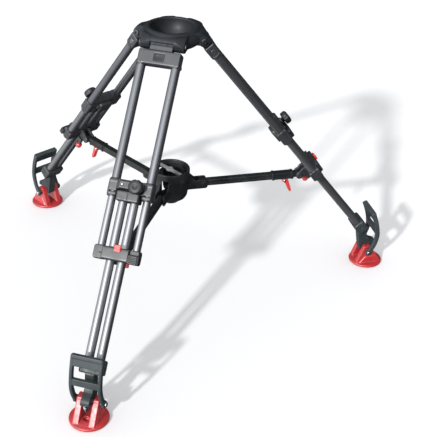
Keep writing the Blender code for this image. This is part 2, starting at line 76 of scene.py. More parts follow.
pad_low, pad_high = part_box("front_foot_pad")
AXIS = Vector((0, (pad_low.y + pad_high.y) / 2 + PAD_R / 1000, 0))
COS, SIN = math.cos(math.radians(SPREAD)), math.sin(math.radians(SPREAD))
CENTRE = Matrix.Translation(AXIS)
RADIAL_FRAMES = {
    leg: CENTRE @ Matrix.Rotation(math.radians(azimuth), 4, "Z") for leg, azimuth in LEGS.items()
}
LEG_FRAMES = {
    leg: radial @ Matrix.Translation((HINGE_R / 1000, 0, HINGE_Z / 1000))
    @ Matrix.Rotation(-math.radians(SPREAD), 4, "Y")
    for leg, radial in RADIAL_FRAMES.items()
}


def to_leg(radius, height):
    """Radial frame (x, z) turned into leg frame (x, z)."""
    out, rise = radius - HINGE_R, height - HINGE_Z
    return out * COS + rise * SIN, -out * SIN + rise * COS


# ------------------------------------------------------------------ outlines
def arc(centre_x, centre_z, radius, start, end, steps):
    angles = [math.radians(start + (end - start) * i / steps) for i in range(steps + 1)]
    return [(centre_x + radius * math.cos(angle), centre_z + radius * math.sin(angle))
            for angle in angles]


def smooth_line(points, each=6):
    """Catmull-Rom curve through (x, z) points, with `each` steps between neighbours."""
    line = []
    for i in range(len(points) - 1):
        around = (points[max(i - 1, 0)], points[i], points[i + 1],
                  points[min(i + 2, len(points) - 1)])
        for k in range(each):
            t = k / each
            line.append(tuple(
                0.5 * (2 * start + (end - before) * t
                       + (2 * before - 5 * start + 4 * end - after) * t * t
                       + (3 * start - before - 3 * end + after) * t ** 3)
                for before, start, end, after in zip(*around)))
    line.append(tuple(points[-1]))
    return line


def mirrored(half):
    """A (radius, height) profile completed by its reflection below height 0."""
    return [(radius, -height) for radius, height in reversed(half)] + half


def span(side, near, far):
    """Sideways limits from near to far on the side given by its sign."""
    return sorted((side * near, side * far))


# ------------------------------------------------------------------ solids, millimetres
def from_bmesh(solid):
    bmesh.ops.recalc_face_normals(solid, faces=solid.faces[:])
    mesh = bpy.data.meshes.new("shape")
    solid.to_mesh(mesh)
    solid.free()
    obj = bpy.data.objects.new("shape", mesh)
    bpy.context.scene.collection.objects.link(obj)
    return obj


def round_edges(solid, edges, radius, segments):
    bmesh.ops.bevel(solid, geom=edges, offset=radius, offset_type="OFFSET", segments=segments,
                    profile=0.5, affect="EDGES", clamp_overlap=True)


def block(x, y, z, radius=0.0, segments=3):
    """A box between (low, high) limits on each axis, with rounded edges."""
    solid = bmesh.new()
    bmesh.ops.create_cube(solid, size=1.0)
    for vert in solid.verts:
        vert.co = Vector([low + (place + 0.5) * (high - low)
                          for (low, high), place in zip((x, y, z), vert.co)])
    if radius:
        round_edges(solid, solid.edges[:], radius, segments)
    return from_bmesh(solid)


def slab(outline, y_low, y_high, radius=0.0, segments=2):
    """An (x, z) outline made solid between two sideways limits, with rounded rims."""
    solid = bmesh.new()
    face = solid.faces.new([solid.verts.new((x, y_low, z)) for x, z in outline])
    grown = bmesh.ops.extrude_face_region(solid, geom=[face])["geom"]
    bmesh.ops.translate(solid, verts=[item for item in grown if isinstance(item, bmesh.types.BMVert)],
                        vec=(0, y_high - y_low, 0))
    if radius:
        bmesh.ops.recalc_face_normals(solid, faces=solid.faces[:])
        rim = [e for e in solid.edges if abs(e.verts[0].co.y - e.verts[1].co.y) < 1e-6]
        round_edges(solid, rim, radius, segments)
    return from_bmesh(solid)


def spun(profile, segments=48, axis="Z", centre=(0, 0, 0)):
    """A closed (radius, height) profile spun about an axis."""
    solid = bmesh.new()
    rings = []
    for radius, height in profile:
        count = 1 if radius < 1e-6 else segments
        rings.append([
            solid.verts.new((radius * math.cos(2 * math.pi * i / segments),
                             radius * math.sin(2 * math.pi * i / segments), height))
            for i in range(count)
        ])
    for ring, following in zip(rings, rings[1:] + rings[:1]):
        if len(ring) == 1 and len(following) == 1:
            continue
        for i in range(segments):
            j = (i + 1) % segments
            corners = [ring[i % len(ring)], ring[j % len(ring)],
                       following[j % len(following)], following[i % len(following)]]
            solid.faces.new(list(dict.fromkeys(corners)))
    turn = {
        "Z": Matrix.Identity(4),
        "Y": Matrix.Rotation(-math.pi / 2, 4, "X"),
        "X": Matrix.Rotation(math.pi / 2, 4, "Y"),
    }[axis]
    bmesh.ops.transform(solid, matrix=Matrix.Translation(centre) @ turn, verts=solid.verts[:])
    return from_bmesh(solid)


def rod(radius, low, high, segments=48, axis="Z", centre=(0, 0, 0), edge=0.0):
    """A cylinder between two heights along its axis, with chamfered ends."""
    if edge:
        side = [(radius - edge, low), (radius, low + edge),
                (radius, high - edge), (radius - edge, high)]
    else:
        side = [(radius, low), (radius, high)]
    return spun([(0, low)] + side + [(0, high)], segments, axis, centre)


def twin_rods(radius, low, high, y, segments=48, edge=0.0):
    """Two upright rods, at -y and +y."""
    return [rod(radius, low, high, segments, "Z", (0, side * y, 0), edge) for side in (-1, 1)]


def modify(obj, kind, **settings):
    modifier = obj.modifiers.new(kind.lower(), kind)
    for name, value in settings.items():
        setattr(modifier, name, value)


def applied(obj):
    bpy.context.view_layer.update()
    evaluated = obj.evaluated_get(bpy.context.evaluated_depsgraph_get())
    mesh = bpy.data.meshes.new_from_object(evaluated)
    obj.modifiers.clear()
    obj.data = mesh
    return obj


def combined(target, others, operation):
    for other in others:
        modify(target, "BOOLEAN", operation=operation, solver="EXACT", object=other)
    applied(target)
    for other in others:
        bpy.data.objects.remove(other, do_unlink=True)
    return target


def union(first, *others):
    return combined(first, others, "UNION")


def cut(first, *others):
    return combined(first, others, "DIFFERENCE")


def fused(voxel, *shapes):
    """Overlapping solids run together into one skin, as in a mould."""
    solid = bmesh.new()
    for shape in shapes:
        solid.from_mesh(shape.data)
        bpy.data.objects.remove(shape, do_unlink=True)
    body = from_bmesh(solid)
    modify(body, "REMESH", mode="VOXEL", voxel_size=voxel)
    return applied(body)


def turned(obj, degrees):
    """Turns a shape about the vertical through the origin."""
    obj.data.transform(Matrix.Rotation(math.radians(degrees), 4, "Z"))
    return obj


def moved(obj, offset):
    obj.data.transform(Matrix.Translation(offset))
    return obj


def cast(obj, voxel, passes, keep):
    """Gives a shape the soft fillets of a casting, then keeps a share of its faces."""
    modify(obj, "REMESH", mode="VOXEL", voxel_size=voxel, use_smooth_shade=True)
    modify(obj, "SMOOTH", factor=0.5, iterations=passes)
    modify(obj, "DECIMATE", ratio=keep)
    return applied(obj)


def finished(obj, material, sharp=30):
    """The shape's mesh in metres, smooth below the sharp angle, with its material."""
    mesh = obj.data
    mesh.transform(Matrix.Scale(0.001, 4))
    mesh.materials.clear()
    mesh.materials.append(MATERIALS[material])
    mesh.shade_smooth()
    mesh.set_sharp_from_angle(angle=math.radians(sharp))
    bpy.data.objects.remove(obj, do_unlink=True)
    return mesh


def moulding(obj, material, voxel, passes, keep, sharp=60):
    return finished(cast(obj, voxel, passes, keep), material, sharp)


# ------------------------------------------------------------------ node graphs
def shade(colour, factor, lift=0.0):
    return tuple(min(1.0, channel * factor + lift) for channel in colour)


class Graph:
    """The node tree of a material or world."""

    def __init__(self, owner):
        owner.use_nodes = True
        self.tree = owner.node_tree

    def feed(self, socket, value):
        """Links a socket or sets a plain value."""
        if isinstance(value, bpy.types.NodeSocket):
            self.tree.links.new(value, socket)
        else:
            socket.default_value = value

    def node(self, kind, inputs=None, **settings):
        node = self.tree.nodes.new(kind)
        for name, value in settings.items():
            setattr(node, name, value)
        for key, value in (inputs or {}).items():
            self.feed(node.inputs[key], value)
        return node

    def math(self, operation, first, second):
        return self.node("ShaderNodeMath", {0: first, 1: second}, operation=operation).outputs[0]


class Look(Graph):
    """A material built round its Principled shader."""

    def __init__(self, name):
        self.material = bpy.data.materials.new(name)
        super().__init__(self.material)
        self.shader = self.tree.nodes["Principled BSDF"]

    def surface(self, inputs):
        for key, value in inputs.items():
            self.feed(self.shader.inputs[key], value)

    def coords(self, stretch=(1, 1, 1)):
        source = self.node("ShaderNodeTexCoord").outputs["Object"]
        mapping = self.node("ShaderNodeMapping", {"Scale": stretch, "Vector": source})
        return mapping.outputs["Vector"]

    def noise(self, scale=1.0, stretch=(1, 1, 1), detail=3.0, roughness=0.55):
        node = self.node("ShaderNodeTexNoise",
                         {"Scale": scale, "Detail": detail, "Roughness": roughness})
        self.feed(node.inputs["Vector"], self.coords(stretch))
        return node.outputs["Fac"]

    def remap(self, value, low=0.0, high=1.0, start=0.35, end=0.65):
        """Maps start..end of a value to low..high."""
        return self.node("ShaderNodeMapRange", {
            "From Min": start, "From Max": end, "To Min": low, "To Max": high, "Value": value,
        }).outputs["Result"]

    def patches(self, low=0.0, high=1.0, start=0.35, end=0.65, **noise):
        return self.remap(self.noise(**noise), low, high, start, end)

    def blend(self, factor, first, second):
        node = self.node("ShaderNodeMix", {"Factor": factor}, data_type="RGBA")
        for index, colour in ((6, first), (7, second)):
            value = (*colour, 1.0) if isinstance(colour, tuple) else colour
            self.feed(node.inputs[index], value)
        return node.outputs[2]

    def cloudy(self, scale, detail, first, second, **noise):
        """Two colours drifting into each other."""
        cloud = self.patches(start=0.3, end=0.7, scale=scale, detail=detail, **noise)
        return self.blend(cloud, first, second)

    def corner_wear_and_highlight(self, base, amount, corner_tint):
        """Patchy wear where a fine mesh turns a corner; on the red mouldings the corner tint is a pale
        painted highlight along the ridges.
        """
        geometry = self.node("ShaderNodeNewGeometry")
        edge = self.remap(geometry.outputs["Pointiness"], start=0.53, end=0.62)
        patchy = self.patches(low=0.15, high=1.0, start=0.4, end=0.62, scale=90, detail=4)
        wear = self.math("MULTIPLY", edge, patchy)
        return self.blend(self.math("MULTIPLY", wear, amount), base, corner_tint)

    def bump(self, layers):
        """Stacks relief layers of (height, distance in metres, strength)."""
        normal = None
        for height, distance, strength in layers:
            inputs = {"Strength": strength, "Distance": distance, "Height": height}
            if normal is not None:
                inputs["Normal"] = normal
            normal = self.node("ShaderNodeBump", inputs).outputs["Normal"]
        self.feed(self.shader.inputs["Normal"], normal)


# ------------------------------------------------------------------ materials
def painted(name, colour, corner_tint, rough, grain, grain_strength, specular=0.5, edge=0.5):
    """Paint with a fine grain, rubbed at its edges."""
    look = Look(name)
    base = look.cloudy(26, 5, shade(colour, 0.78), shade(colour, 1.25))
    look.surface({
        "Base Color": look.corner_wear_and_highlight(base, edge, corner_tint),
        "Roughness": look.patches(low=rough - 0.06, high=rough + 0.09, scale=60, detail=4),
        "Specular IOR Level": specular,
        "Coat Roughness": 0.12,
    })
    look.bump([
        (look.noise(scale=grain, detail=2), 0.0002, grain_strength),
        (look.noise(scale=140, detail=3), 0.0004, 0.05),
    ])
    return look.material


def drawn_tube(name, colour, rough, metallic):
    """Anodised drawn tube: fine streaks run along it, with faint handling marks."""
    look = Look(name)
    streak = look.noise(stretch=(1400, 1400, 9))
    broad = look.noise(stretch=(160, 160, 3))
    base = look.blend(look.remap(streak, start=0.3, end=0.7),
                      shade(colour, 0.86), shade(colour, 1.12))
    base = look.blend(look.remap(broad, high=0.35, start=0.45, end=0.75),
                      base, shade(colour, 1.35))
    scuff = look.patches(high=0.5, start=0.62, end=0.72,
                         stretch=(60, 60, 45), detail=6, roughness=0.7)
    look.surface({
        "Base Color": look.blend(scuff, base, shade(colour, 1.7)),
        "Metallic": metallic,
        "Roughness": look.remap(broad, low=rough - 0.04, high=rough + 0.08),
    })
    look.bump([
        (streak, 0.00008, 0.25),
        (look.noise(stretch=(35, 35, 20), detail=2), 0.0006, 0.04),
    ])
    return look.material


def moulded(name, colour, rough, grain, strength, specular=0.4):
    """Moulded plastic with a fine leathery grain and a little dust in it."""
    look = Look(name)
    cell = look.node("ShaderNodeTexVoronoi", {"Scale": grain})
    look.feed(cell.inputs["Vector"], look.coords())
    base = look.cloudy(18, 6, shade(colour, 0.75), shade(colour, 1.3), roughness=0.65)
    base = look.corner_wear_and_highlight(base, 0.5, shade(colour, 2.4, lift=0.02))
    dust = look.patches(high=0.12, start=0.5, end=0.75, scale=45, detail=7, roughness=0.75)
    look.surface({
        "Base Color": look.blend(dust, base, (0.2, 0.2, 0.2)),
        "Roughness": look.patches(low=rough - 0.07, high=rough + 0.1, scale=70, detail=4),
        "Specular IOR Level": specular,
    })
    look.bump([
        (cell.outputs["Distance"], 0.00025, strength),
        (look.noise(scale=120, detail=3), 0.0004, 0.06),
    ])
    return look.material


def machined(name, colour, rough):
    """Turned steel: fine tool lines in bands along y."""
    look = Look(name)
    wave = look.node("ShaderNodeTexWave", {"Scale": 1600.0, "Distortion": 0.6},
                     wave_type="BANDS", bands_direction="Y")
    look.feed(wave.inputs["Vector"], look.coords())
    cloud = look.patches(scale=150, detail=5)
    look.surface({
        "Base Color": look.blend(cloud, shade(colour, 0.8), colour),
        "Metallic": 1.0,
        "Roughness": look.patches(low=rough - 0.08, high=rough + 0.12, scale=220, detail=4),
    })
    look.bump([(wave.outputs["Fac"], 0.00005, 0.3)])
    return look.material


def red_moulding(name, colour, rough, pale):
    """Red moulding: satin, with a thin coat and sheen, a pale pink painted highlight along its ridges,
    and scuffs in streaks of the same pale pink.
    """
    look = Look(name)
    base = look.cloudy(30, 5, shade(colour, 0.82), shade(colour, 1.15))
    # painted highlight: the pale pink laid along the ridges, where the fins catch the light
    base = look.corner_wear_and_highlight(base, 0.6, pale)
    scuff = look.patches(high=0.35, start=0.6, end=0.72,
                         stretch=(260, 90, 260), detail=6, roughness=0.7)
    look.surface({
        "Base Color": look.blend(scuff, base, pale),
        "Roughness": look.patches(low=rough - 0.06, high=rough + 0.12, scale=80, detail=5),
        "Specular IOR Level": 1.0,
        "Coat Weight": 0.3,
        "Coat Roughness": 0.3,
        "Sheen Weight": 0.12,
        "Sheen Roughness": 0.4,
    })
    look.bump([
        (look.noise(scale=1500, detail=3), 0.00018, 0.3),
        (look.noise(scale=90, detail=3), 0.0004, 0.08),
    ])
    return look.material


MATERIALS = {
    "crown": painted("crown_gloss_paint", colour=(0.012, 0.0145, 0.018), corner_tint=(0.10, 0.105, 0.11),
                     rough=0.5, grain=500.0, grain_strength=0.06, specular=0.34, edge=0.3),
    "casting": painted("casting_satin_paint", colour=(0.022, 0.023, 0.028), corner_tint=(0.22, 0.22, 0.23),
                       rough=0.42, grain=1800.0, grain_strength=0.2, specular=0.75),
    # the lower tubes take a paler base than the upper tubes as painted highlight, for the brighter
    # reflection lower down the leg; both are the same dark anodising
    "upper_tube": drawn_tube("upper_tube_anodised", colour=(0.165, 0.17, 0.185),
                             rough=0.36, metallic=0.88),
    "lower_tube": drawn_tube("lower_tube_anodised", colour=(0.25, 0.255, 0.272),
                             rough=0.38, metallic=0.92),
    "dark_plastic": moulded("black_glass_nylon", colour=(0.010, 0.0125, 0.0135),
                            rough=0.42, grain=1100.0, strength=0.3, specular=0.28),
    "knob": moulded("black_knob_plastic", colour=(0.010, 0.011, 0.013),
                    rough=0.36, grain=1300.0, strength=0.25),
    "steel": machined("turned_steel", colour=(0.62, 0.62, 0.64), rough=0.27),
    "barrel": moulded("black_bearing_nylon", colour=(0.020, 0.022, 0.026),
                      rough=0.55, grain=1400.0, strength=0.2, specular=0.25),
    "pin": machined("dark_oxide_steel", colour=(0.11, 0.115, 0.125), rough=0.4),
    # light grey: a painted highlight for the lit band across the hub's mouth
    "bar": painted("bar_painted_highlight_grey", colour=(0.20, 0.205, 0.215), corner_tint=(0.4, 0.4, 0.41),
                   rough=0.42, grain=1500.0, grain_strength=0.15),
    "foot_plastic": moulded("foot_glass_nylon", colour=(0.024, 0.032, 0.035),
                            rough=0.45, grain=1000.0, strength=0.3, specular=0.45),
    # pale: the pink of the painted highlight on the ridges, also used for the scuffs
    "red_rubber": red_moulding("red_foot_rubber", colour=(0.45, 0.010, 0.014),
                               rough=0.4, pale=(0.72, 0.15, 0.16)),
    "red_plastic": red_moulding("red_lever_plastic", colour=(0.60, 0.025, 0.022),
                                rough=0.3, pale=(0.75, 0.2, 0.18)),
    "strap": moulded("strap_thermoplastic", colour=(0.028, 0.038, 0.042),
                     rough=0.45, grain=750.0, strength=0.35, specular=0.45),
    "inset": moulded("blank_inset_plastic", colour=(0.022, 0.023, 0.028),
                     rough=0.5, grain=1500.0, strength=0.2, specular=0.3),
    "rubber": moulded("black_stop_rubber", colour=(0.008, 0.008, 0.009),
                      rough=0.65, grain=1500.0, strength=0.3, specular=0.25),
}


# ------------------------------------------------------------------ centre pieces
def crown():
    """The bowl casting with a pair of hinge ears for each leg."""
    wall = smooth_line([(27, 637), (42, 638.8), (56, 644.5), (66, 653), (70.6, 661.5), (70.2, 669),
                        (66.4, 675.6), (61.8, 680.6), (57.5, 683.0)], 4)
    ear = ([(33, 679.6), (56, 679.6)]
           + smooth_line([(62, 679.3), (70, 676.6), (75, 671.5), (76, 664)], 4)
           + arc(HINGE_R, HINGE_Z, 13.4, 0, -135, 14) + [(44, 652), (33, 661)])
    brow = ([(31, 679.1), (56, 679.1)]
            + smooth_line([(61.6, 678.9), (69.5, 676.2), (73.8, 671.8), (74.4, 667.4)], 4)
            + [(31, 667.0)])
    shapes = [spun([(20, 637)] + wall + [(56.5, RIM_Z), (20, RIM_Z)], 96)]
    for azimuth in LEGS.values():
        for shape in (
            slab(ear, EAR_Y, 50.5), slab(ear, -50.5, -EAR_Y), slab(brow, -28, 28),
            rod(10.5, 49, 51.1, 40, "Y", HINGE), rod(10.5, -51.1, -49, 40, "Y", HINGE),
        ):
            shapes.append(turned(shape, azimuth))
    body = fused(0.9, *shapes)

    last = math.acos(THROAT_R / BOWL_R)
    bowl = [(0, RIM_Z + 5), (51.4, RIM_Z + 5), (51.4, RIM_Z - 0.2), (BOWL_R, RIM_Z - 1.6)]
    bowl += [(BOWL_R * math.cos(last * i / 16), RIM_Z - 1.2 - 49.4 * math.sin(last * i / 16))
             for i in range(1, 17)]
    bowl += [(THROAT_R, 630), (0, 630)]
    shoulder = smooth_line([(57.6, 684.4), (66, 681.6), (75.5, 677.0), (83, 671), (88.4, 663.5),
                            (91, 655)], 4)
    cutters = [spun(bowl, 96),
               spun(shoulder + [(91.5, 625), (125, 625), (125, 692), (57.6, 692)], 96)]
    room = 12  # radius cleared round each hinge
    pocket = ([(90, HINGE_Z + room * math.sin(math.radians(35)))]
              + arc(HINGE_R, HINGE_Z, room, 35, 180, 12) + [(HINGE_R - room, 630), (90, 630)])
    for azimuth in LEGS.values():
        cutters.append(turned(slab(pocket, -EAR_Y, EAR_Y), azimuth))
        cutters.append(turned(rod(5.4, -60, 60, 32, "Y", HINGE), azimuth))
    return moulding(cut(body, *cutters), "crown", voxel=0.95, passes=4, keep=0.28)


def hub():
    """The spreader's cup, with a slotted lug for each strut."""
    profile = [(30, 250), (37, 255), (40.2, 261), (41.0, 268), (42.2, 298), (42.8, 301.5),
               (45.2, 303.5), (45.4, 321.5), (45.7, 325), (45.2, 328), (43.6, 329.3), (41.2, 329.0),
               (40.2, 326.5), (38.5, 320), (38.5, 262), (34, 256), (5, 256), (5, 250)]
    lug = ([(38, 270.5), (83, 270.5)] + arc(83, 276, 5.5, -90, 0, 5)
           + arc(83, 288, 5.5, 0, 90, 5) + [(38, 293.5)])
    web = [(39, 293), (60, 292.5), (46, 306), (39, 312)]
    shapes, slots = [spun(profile, 96)], []
    for azimuth in LEGS.values():
        for shape in (slab(lug, -13.2, 13.2), rod(6.2, -14.4, 14.4, 32, "Y", (79.5, 0, STRUT_Z)),
                      slab(web, -12.6, -9.4), slab(web, 9.4, 12.6)):
            shapes.append(turned(shape, azimuth))
        slots.append(turned(block((28, 100), (-8.7, 8.7), (240, 313)), azimuth))
    body = cut(fused(0.8, *shapes), rod(38.4, 263, 319, 96), *slots)
    return moulding(body, "dark_plastic", voxel=0.85, passes=3, keep=0.28)


def hub_bar():
    """The flat carry bar across the hub's mouth, coloured light grey as a painted highlight of the lit
    band there.
    """
    body = fused(0.5, block((-39.6, 39.6), (-4.4, 4.4), (320.6, 325.4), 1.2),
                 rod(8.6, 320.0, 326.2, 40, "Z", (4, 0, 0), edge=1.0))
    body = turned(cast(body, voxel=0.5, passes=2, keep=0.5), LEGS["left"])
    return finished(body, "bar", sharp=50)


def hub_screw():
    """The round screw head under the hub, with twelve finger grips."""
    body = spun(smooth_line([(0, 249.6), (20.4, 249.6), (22, 248.2), (22, 244.6), (20, 241.4),
                             (15.5, 239.4), (10, 238.6), (0, 238.5)], 3), 72)
    grips = []
    for i in range(12):
        angle = 2 * math.pi * i / 12
        grips.append(rod(2.6, 232, 252, 20, "Z", (23.4 * math.cos(angle), 23.4 * math.sin(angle), 0)))
    return moulding(cut(body, *grips), "knob", voxel=0.6, passes=2, keep=0.5, sharp=50)


# ------------------------------------------------------------------ leg frame pieces
def hinge_pin():
    head = 51.35  # where the heads start, from the middle
    half = [(5, head), (8, head), (8, head + 0.6), (7.6, head + 1.8), (6.0, head + 2.6),
            (0, head + 2.6)]
    sockets = [rod(3.2, head + 0.8, head + 6, 6, "Y"), rod(3.2, -head - 6, -head - 0.8, 6, "Y")]
    return finished(cut(spun(mirrored(half), 48, "Y"), *sockets), "pin")


def top_block():
    """The block under the hinge that holds the outer tubes."""
    low, high = -49.5, -17.0
    body = block((-12.5, 12.5), (-48, 48), (low, high), 3.2, 4)
    body = union(body, block((-9.5, 9.5), (-25.8, 25.8), (high - 6, 1), 0.8),
                 *twin_rods(12.4, low - 1.2, low + 6, WIDE_Y, edge=1.0))
    cutters = [rod(11.2, -40, 40, 64, "Y"),
               block((11.0, 20), (-11.5, 12.5), (low + 8.5, low + 25.5), 1.2),
               block((-20, -10.5), (-20, 20), (low + 8, low + 24), 2)]
    for side, hole_low, hole_high in ((-1, -60, -46.5), (1, 38, 60)):
        cutters.append(rod(10.3, low - 5, low + 22, 48, "Z", (0, side * WIDE_Y, 0)))
        cutters.append(rod(2.2, hole_low, hole_high, 24, "Y", (0, 0, low + 16)))
    return moulding(cut(body, *cutters), "casting", voxel=0.85, passes=3, keep=0.4)


def hinge_barrel():
    """The dark bearing barrel the leg turns on, with two grease grooves."""
    half = [(11, 12.4), (10.5, 12.8), (10.5, 14.2), (11, 14.6), (11, 25.0), (10.4, 25.6), (5.3, 25.6)]
    return finished(spun(mirrored(half), 72, "Y"), "barrel")


def block_inset():
    """The framed blank plate on the top block's outward face."""
    body = block((10.6, 11.9), (-10.9, 11.9), (-40.4, -24.6), 0.6)
    return finished(cut(body, block((11.6, 14), (-8.9, 9.9), (-38.4, -26.6), 0.4, 2)), "inset")


def tube(outer, inner, low, high, y, material):
    edge = 0.5
    wall = high - low - 2 * edge
    profile = ([(inner, low + edge), (inner + edge, low), (outer - edge, low), (outer, low + edge)]
               + [(outer, low + edge + wall * k / 12) for k in range(1, 12)]
               + [(outer, high - edge), (outer - edge, high), (inner + edge, high),
                  (inner, high - edge)])
    return finished(spun(profile, 72, "Z", (0, y, 0)), material)


def middle_bracket():
    """The clamp at the lower end of the outer tubes."""
    shapes = [block((-11, 11.8), (-32, 32), (-326, -304), 2.5)]
    for side in (-1, 1):
        shapes += [block((-13.5, 13.5), span(side, 27.3, 50), (-342, -304), 4.5, 4),
                   rod(12.6, -343, -303.2, 48, "Z", (0, side * WIDE_Y, 0), edge=1.2),
                   block((-13.8, 13.8), span(side, 29, 48.5), (-313, -307), 1.2, 2)]
    shapes += [block((-20, -9), (-17, 17), (-326, -308), 3.5, 4),
               block((-19.5, -12.8), (-16, 16), (-344, -310), 2.4),
               block((-17, -9), (-24, 24), (-326, -312), 3),
               rod(9, 5, 18, 48, "X", (0, KNOB_Y, KNOB_Z), edge=0.8),
               block((8, 14.2), (-26, 3), (-324, -307), 1.6)]
    cutters = twin_rods(10.3, -352, -294, WIDE_Y)
    cutters += [block((6, 20), span(side, 26.5, 46), (-333.4, -331.2)) for side in (1, -1)]
    cutters.append(rod(2.6, 12.8, 20, 24, "X", SCREW))
    return moulding(cut(fused(0.75, *shapes), *cutters), "casting", voxel=0.85, passes=2, keep=0.3)


def bracket_screw():
    body = spun([(0, 12.9), (2.1, 12.9), (2.1, 14.3), (1.7, 14.8), (0, 14.8)], 32, "X", SCREW)
    return finished(cut(body, rod(1.1, 13.9, 17, 6, "X", SCREW)), "steel")


def stop_rubber():
    body = union(block((-6, 16.5), (-9, 26.6), (-328.7, -325.2), 1.0),
                 block((8, 19.4), (-6, 26.6), (-328.6, -326.4), 0.8, 2))
    return moulding(body, "rubber", voxel=0.45, passes=1, keep=0.5, sharp=50)


def clamp_knob():
    """A chunky hand knob with six finger lobes."""
    body = spun([(0, 18.3), (6.3, 18.3), (6.5, 21.2), (13.6, 21.8), (15.8, 24), (16.2, 32.6),
                 (14.0, 35.8), (10, 37), (0, 37)], 72, "X")
    flutes = []
    for i in range(6):
        angle = math.radians(30 + 60 * i)
        flutes.append(rod(4.6, 20, 40, 28, "X", (0, 19.4 * math.cos(angle), 19.4 * math.sin(angle))))
    flutes.append(rod(5.2, 36.1, 40, 36, "X"))
    body = cast(cut(body, *flutes), voxel=0.6, passes=3, keep=0.4)
    return finished(moved(body, (0, KNOB_Y, KNOB_Z)), "knob", sharp=60)


def lower_bracket():
    """The clamp joining slide tubes and foot tubes, with cheeks for the strut."""
    low, high = -477.0, -449.0
    pin_x, pin_z = to_leg(STRUT_R, STRUT_Z)
    pin = (pin_x, 0, pin_z)
    cheek = ([(-10, high + 2), (-20.5, high + 2), (-27, high - 0.5)]
             + arc(pin_x, pin_z, 9.5, 80, 290, 14) + [(-10, low + 1)])
    shapes = [block((-13.5, 21.1), (-50, 50), (low, high), 4.0, 4),
              slab(cheek, 7.2, 13), slab(cheek, -13, -7.2),
              rod(6.4, -14.2, -12, 40, "Y", pin, edge=0.5),
              rod(6.4, 12, 14.2, 40, "Y", pin, edge=0.5), rod(4, -11, 11, 40, "Y", pin),
              block((-24, -10), (-13, 13), (-483, -467), 3)]
    cutters = []
    for side in (-1, 1):
        wide, narrow = (0, side * WIDE_Y, 0), (0, side * NARROW_Y, 0)
        shapes += [rod(12.2, low - 0.8, high + 0.8, 48, "Z", wide, edge=1.2),
                   rod(11.8, low - 0.8, high + 0.8, 56, "Z", narrow, edge=1.2)]
        cutters += [rod(8.9, low - 9, high + 9, 48, "Z", wide),
                    rod(9.8, low - 9, high + 9, 56, "Z", narrow),
                    block((13.5, 30), span(side, 29, 60), (low - 5, high + 5), 2.5)]
    cutters += [block((12.2, 20), (-36.5, -28.5), (low + 12, low + 15), 0.3, 1),
                rod(2.0, -18.5, -12.9, 24, "Y", pin)]
    return moulding(cut(fused(0.75, *shapes), *cutters), "casting", voxel=0.85, passes=2, keep=0.3)


def clamp_cover():
    """The black moulded cover over the +y side of the lower clamp."""
    low, high = -478.6, -458.5
    body = union(block((13.9, 20.6), (27.6, 50.4), (low, high), 2.2),
                 block((8, 20.2), (50.5, 53.2), (low + 1, high - 1), 1.2),
                 block((13.9, 19), (47, 53.2), (low + 1, high - 1), 1.0, 2))
    grooves = [block((20.0, 22), (31, 47), (low + 3.5 + 3.4 * i, low + 5.1 + 3.4 * i), 0.4, 1)
               for i in range(4)]
    return moulding(cut(body, *grooves), "knob", voxel=0.55, passes=2, keep=0.5, sharp=50)


def release_button():
    body = block((21.4, 26.4), (-2.6, 12.2), (-458.6, -443.4), 2.0, 4)
    grooves = [block((25.8, 29), (0, 10), (-455.5 + 3.0 * i, -454.2 + 3.0 * i), 0.3, 1)
               for i in range(3)]
    return moulding(cut(body, *grooves), "red_plastic", voxel=0.4, passes=2, keep=0.6, sharp=50)


def yoke():
    """The clamp at the upper end of the foot tubes."""
    body = fused(0.75, block((-12, 20.5), (-25, 25), (-351, -329), 3.2, 4),
                 *twin_rods(11.4, -351.6, -333, NARROW_Y, 56, edge=1.0))
    cutters = twin_rods(9.8, -360, -333, NARROW_Y, 56)
    cutters += [block((19.6, 24), (-1.1, 1.1), (-349, -331), 0.3, 1),
                rod(2.4, 23.6, 30, 24, "Y", (2, 0, -341)), rod(2.4, -30, -23.6, 24, "Y", (2, 0, -341))]
    return moulding(cut(body, *cutters), "casting", voxel=0.8, passes=2, keep=0.35)


def foot_bracket():
    """The lower end of the foot tubes, with a tongue down to the foot axle."""
    tongue = smooth_line([  # (x, z) in the radial frame
        (500, 112), (519, 113), (523, 101), (524, 84), (533, 71), (548, 64), (553, 57), (552, 50.2),
        (540, 50), (533, 36), (524, 33), (514, 35), (507, 44), (499, 88), (497, 102), (500, 112),
    ], 3)[:-1]
    axle_x, axle_z = to_leg(AXLE_R, AXLE_Z)
    body = fused(0.75, block((-15, 15), (-26, 26), (-715, -683), 3.8, 4),
                 slab([to_leg(*point) for point in tongue], -10, 10),
                 *twin_rods(12.0, -700, -682.2, NARROW_Y, 56, edge=1.0))
    cutters = twin_rods(9.8, -703.4, -674, NARROW_Y, 56)
    cutters += [rod(3.0, 23.6, 32, 32, "Y", (0, 0, -697)), rod(3.0, -32, -23.6, 32, "Y", (0, 0, -697)),
                rod(4.0, -12, 12, 32, "Y", (axle_x, 0, axle_z))]
    return moulding(cut(body, *cutters), "foot_plastic", voxel=0.8, passes=2, keep=0.35)


def foot_axle():
    axle_x, axle_z = to_leg(AXLE_R, AXLE_Z)
    half = [(4, 35.9), (5.6, 36.0), (5.4, 37.6), (4.4, 38.4), (0, 38.4)]
    return finished(spun(mirrored(half), 48, "Y", (axle_x, 0, axle_z)), "steel")


